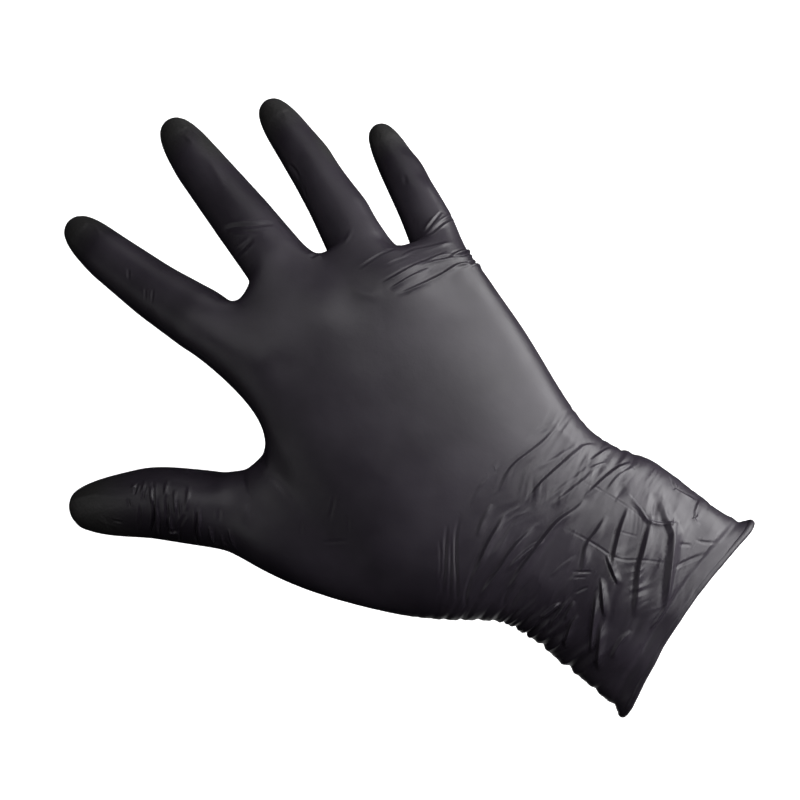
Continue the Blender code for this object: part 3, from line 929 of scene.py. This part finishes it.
def open_edges(triangles):
    """The edges that only one triangle has, each in the direction that its triangle runs."""
    edges = np.concatenate([triangles[:, [0, 1]], triangles[:, [1, 2]], triangles[:, [2, 0]]])
    _, first, counts = np.unique(np.sort(edges, axis=1), axis=0, return_index=True, return_counts=True)
    return edges[first[counts == 1]]


class Film:
    """The creased surface, ready to be cut into pieces."""

    def __init__(self, surface, height, grip):
        self.surface = surface
        self.height = height
        self.grip = grip
        self.points = surface.points + surface.normals * height[:, None]
        self.normals = surface.normals_of(self.points)

    def piece(self, name, ring, material):
        """The ring as a closed shell as thick as the film.

        Its normals are the whole film's, so that no seam shows.
        """
        triangles = self.surface.triangles[self.surface.rings == ring]
        used, numbers = np.unique(triangles, return_inverse=True)
        triangles = numbers.reshape(-1, 3)
        count = len(used)
        normals = self.normals[used]
        outside = self.points[used]
        rims = open_edges(triangles)
        faces = np.concatenate(
            [
                triangles,
                triangles[:, ::-1] + count,
                np.stack([rims[:, 1], rims[:, 0], rims[:, 0] + count], axis=1),
                np.stack([rims[:, 1], rims[:, 0] + count, rims[:, 1] + count], axis=1),
            ]
        )
        points = np.concatenate([outside, outside - normals * FILM])
        mesh = bpy.data.meshes.new(name)
        mesh.from_pydata((points * MM).tolist(), [], faces.tolist())
        mesh.shade_smooth()
        mesh.normals_split_custom_set_from_vertices(np.concatenate([normals, -normals]).tolist())
        twice = np.concatenate([used, used])
        store(mesh, "film_place", "FLOAT_VECTOR", self.surface.points[twice] * MM)
        store(mesh, "film_grip", "FLOAT", np.concatenate([self.grip[used], np.zeros(count)]))
        store(mesh, "film_crease", "FLOAT", np.clip(self.height[twice] / 0.6, -1, 1))
        mesh.materials.append(material)
        obj = bpy.data.objects.new(name, mesh)
        bpy.context.scene.collection.objects.link(obj)
        return obj

    def edge_between(self, ring, other_rings):
        """The points that a ring shares with any of the others."""
        triangles, rings = self.surface.triangles, self.surface.rings
        own = np.unique(triangles[rings == ring])
        others = np.unique(triangles[np.isin(rings, other_rings)])
        return self.points[np.intersect1d(own, others)]

    def mouth(self):
        """The points round the open end of the cuff, in order."""
        following = dict(open_edges(self.surface.triangles).tolist())
        first = next(iter(following))
        order = [first]
        while following[order[-1]] != first:
            order.append(following[order[-1]])
        return self.points[order]


def rolled_bead(film, material):
    """The film's end rolled up on itself: a ring whose thickness wanders a little."""
    mouth = film.mouth()
    count = len(mouth)
    for _ in range(3):
        mouth = (np.roll(mouth, 1, 0) + 2 * mouth + np.roll(mouth, -1, 0)) / 4
    forward = np.roll(mouth, -1, 0) - np.roll(mouth, 1, 0)
    forward /= np.linalg.norm(forward, axis=1, keepdims=True)
    across = np.cross(forward, [1, 0, 0])
    across /= np.linalg.norm(across, axis=1, keepdims=True)
    across *= np.sign((across * (mouth - mouth.mean(0))).sum())
    centre = mouth - BEAD_DROP * across
    inward = np.cross(forward, across)
    points = []
    for k in range(count):
        round_mouth = 2 * math.pi * k / count
        wander = noise.noise(Vector((math.cos(round_mouth), math.sin(round_mouth), 0)) * 5)
        flutes = noise.noise(Vector((math.cos(round_mouth), math.sin(round_mouth), 2)) * 28)
        radius = BEAD_RADIUS * (1 + BEAD_WANDER * wander + BEAD_FLUTES * flutes)
        for side in range(BEAD_SIDES):
            turn = 2 * math.pi * side / BEAD_SIDES
            points.append(centre[k] + radius * (across[k] * math.cos(turn) + inward[k] * math.sin(turn)))
    faces = []
    for k in range(count):
        for side in range(BEAD_SIDES):
            a, b = k * BEAD_SIDES, (k + 1) % count * BEAD_SIDES
            after = (side + 1) % BEAD_SIDES
            faces.append((a + side, a + after, b + after, b + side))
    mesh = bpy.data.meshes.new("bead_roll")
    mesh.from_pydata((np.array(points) * MM).tolist(), [], faces)
    shape = bmesh.new()
    shape.from_mesh(mesh)
    bmesh.ops.recalc_face_normals(shape, faces=shape.faces)
    shape.to_mesh(mesh)
    shape.free()
    mesh.shade_smooth()
    store(mesh, "film_place", "FLOAT_VECTOR", np.array(points) * MM)
    store(mesh, "film_grip", "FLOAT", np.zeros(len(points)))
    store(mesh, "film_crease", "FLOAT", np.zeros(len(points)))
    mesh.materials.append(material)
    obj = bpy.data.objects.new("bead_roll", mesh)
    bpy.context.scene.collection.objects.link(obj)
    return obj


def fold_ends(film, rings, ring, joint):
    """Where a fold would start and stop bending: past the last point that it shares with each neighbour."""
    child = joint["child"]
    child_rings = [i for i, other in enumerate(rings) if other in bodies[child] and i != ring]
    parent_rings = [i for i, other in enumerate(rings) if other not in bodies[child]]
    near = film.edge_between(ring, parent_rings)
    far = film.edge_between(ring, child_rings)
    axis = np.array(joint["axis"])
    pivot = np.array(joint["pos_m"]) / MM
    forward = far.mean(0) - near.mean(0)
    forward -= axis * (forward @ axis)
    forward /= np.linalg.norm(forward)
    start = max((near - pivot) @ forward)
    end = min((far - pivot) @ forward)
    return pivot + forward * start, pivot + forward * end


def make_pieces(film, rings, materials):
    for ring, name in enumerate(rings):
        piece = film.piece(f"{name}_film", ring, materials["film"])
        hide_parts(name)
        body = next(body for body, nodes in bodies.items() if name in nodes)
        if name.endswith("_fold"):
            joint = next(joint for joint in frame["joints"] if joint["child"] == body)
            start, end = fold_ends(film, rings, ring, joint)
            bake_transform(piece)
        else:
            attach(piece, body)
    bead = rolled_bead(film, materials["bead"])
    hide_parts("rolled_bead")
    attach(bead, "cuff")


# ---------------------------------------------------------------- the studio


def lit_floor():
    """A pale floor, lit from behind like a light table."""
    material = bpy.data.materials.new("pale_floor")
    material.use_nodes = True
    shader = material.node_tree.nodes["Principled BSDF"]
    shader.inputs["Base Color"].default_value = (0.9, 0.9, 0.9, 1)
    shader.inputs["Roughness"].default_value = 0.9
    shader.inputs["Emission Color"].default_value = (1, 1, 1, 1)
    shader.inputs["Emission Strength"].default_value = 0.9
    return material


def area_light(name, heading, rise, distance, size, power, aim=MIDDLE):
    """A light that faces a point, given the way from there to it.

    A heading of 0 is the right of the camera's view and 90 is its top.
    """
    turn, lift = math.radians(CAMERA_TURN + heading), math.radians(rise)
    outward = Vector((math.cos(turn) * math.cos(lift), math.sin(turn) * math.cos(lift), math.sin(lift)))
    light = bpy.data.lights.new(name, "AREA")
    light.shape = "RECTANGLE"
    light.size, light.size_y = size
    light.energy = power
    obj = bpy.data.objects.new(name, light)
    obj.location = Vector(aim) + outward * distance
    obj.rotation_euler = outward.to_track_quat("Z", "Y").to_euler()
    obj.visible_camera = False
    bpy.context.scene.collection.objects.link(obj)


def make_studio():
    scene = bpy.context.scene
    floor_mesh = bpy.data.meshes.new("studio_floor")
    reach = FLOOR_REACH
    corners = [(-reach, -reach), (reach, -reach), (reach, reach), (-reach, reach)]
    floor_mesh.from_pydata([(*corner, FLOOR_HEIGHT) for corner in corners], [], [(0, 1, 2, 3)])
    floor_mesh.materials.append(lit_floor())
    floor = bpy.data.objects.new("studio_floor", floor_mesh)
    floor.visible_diffuse = floor.visible_glossy = False
    scene.collection.objects.link(floor)

    world = bpy.data.worlds.new("studio")
    world.use_nodes = True
    background = world.node_tree.nodes["Background"]
    background.inputs["Color"].default_value = (1, 1, 1, 1)
    background.inputs["Strength"].default_value = 1
    world.cycles_visibility.diffuse = world.cycles_visibility.glossy = False
    scene.world = world

    area_light("key_light", 60, 60, 0.33, (0.25, 0.25), 0.46)
    area_light("cuff_light", 30, 50, 0.22, (0.18, 0.18), 0.2, WRIST_SPOT)
    area_light("fold_light", 5, 38, 0.24, (0.2, 0.2), 0.37, CUFF_SPOT)
    area_light("right_light", -5, 45, 1.2, (0.8, 0.8), 1.2)
    area_light("low_light", 30, 10, 1.2, (1.2, 0.7), 16.5)
    area_light("finger_light", 90, 12, 1.2, (0.8, 0.7), 1.2)
    area_light("far_light", 145, 55, 1.2, (0.8, 0.8), 1.7)
    area_light("edge_light", 195, 25, 1.2, (0.8, 0.7), 1)
    area_light("under_light", 300, -50, 0.4, (0.3, 0.3), 0.15)

    camera = bpy.data.cameras.new("camera")
    camera.sensor_width = 36
    camera.lens = 60
    view = bpy.data.objects.new("camera", camera)
    view.location = CAMERA_PLACE
    view.rotation_euler = (0, 0, math.radians(CAMERA_TURN))
    scene.collection.objects.link(view)
    scene.camera = view
    scene.view_settings.view_transform = "Standard"


# ---------------------------------------------------------------- the whole


ring_names = sorted(name for name in frame["nodes"] if name != "rolled_bead")
smooth = smooth_surface(join_rings(ring_names), len(ring_names))
surface = Surface(smooth)
fingers = {name: Finger(name) for name in ("little", "ring", "middle", "index", "thumb")}
creases = drawn_creases(surface.tree) + arm_creases(surface.tree) + finger_creases(surface.tree, fingers)
for _ in range(HALVINGS):
    halve_long_edges(smooth, press_all(surface, creases)[1])
    surface = Surface(smooth)
smooth.free()
height = press_all(surface, creases)[0] + swelling_height(surface) + nail_height(surface, fingers)
height += slack_height(surface) + flare_height(surface)
grip = grip_amount(surface, fingers)
film = Film(surface, height, grip)
materials = {
    "film": rubber("nitrile_film", (0.0158, 0.0127, 0.0186), (0.027, 0.0226, 0.031), 0.4),
    "bead": rubber("nitrile_bead", (0.0158, 0.0127, 0.0186), (0.0255, 0.0215, 0.029), 0.38),
}
make_pieces(film, ring_names, materials)
make_studio()
